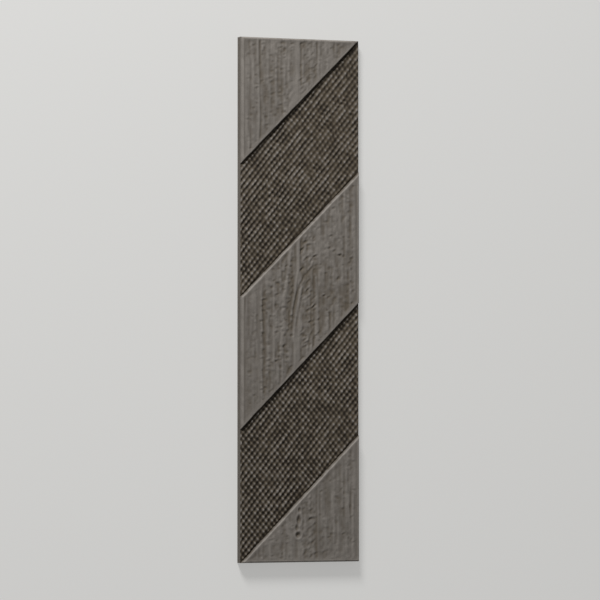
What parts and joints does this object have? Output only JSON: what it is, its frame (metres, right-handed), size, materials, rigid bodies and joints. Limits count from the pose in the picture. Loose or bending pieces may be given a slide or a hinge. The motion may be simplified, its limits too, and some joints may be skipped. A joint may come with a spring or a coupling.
{
  "type": "relief wall tile",
  "caption": "Long narrow ceramic wall tile with raised rough-sawn boards cut on the slant over a woven-look ground, ribbed back, matt taupe grey.",
  "frame": {"origin": "centre of the back, where the tile lies on the floor or on its adhesive bed", "axes": "+X across the tile to the picture's right, +Y along the tile to the picture's top, +Z out of the relief face"},
  "size_m": [0.12, 0.495, 0.0115],
  "materials": {
    "tile_body": "matt taupe grey, through-coloured, with pressed sawn-wood and woven relief"
  },
  "bodies": {
    "root": {"wall_tile": "tile_body"}
  },
  "joints": []
}
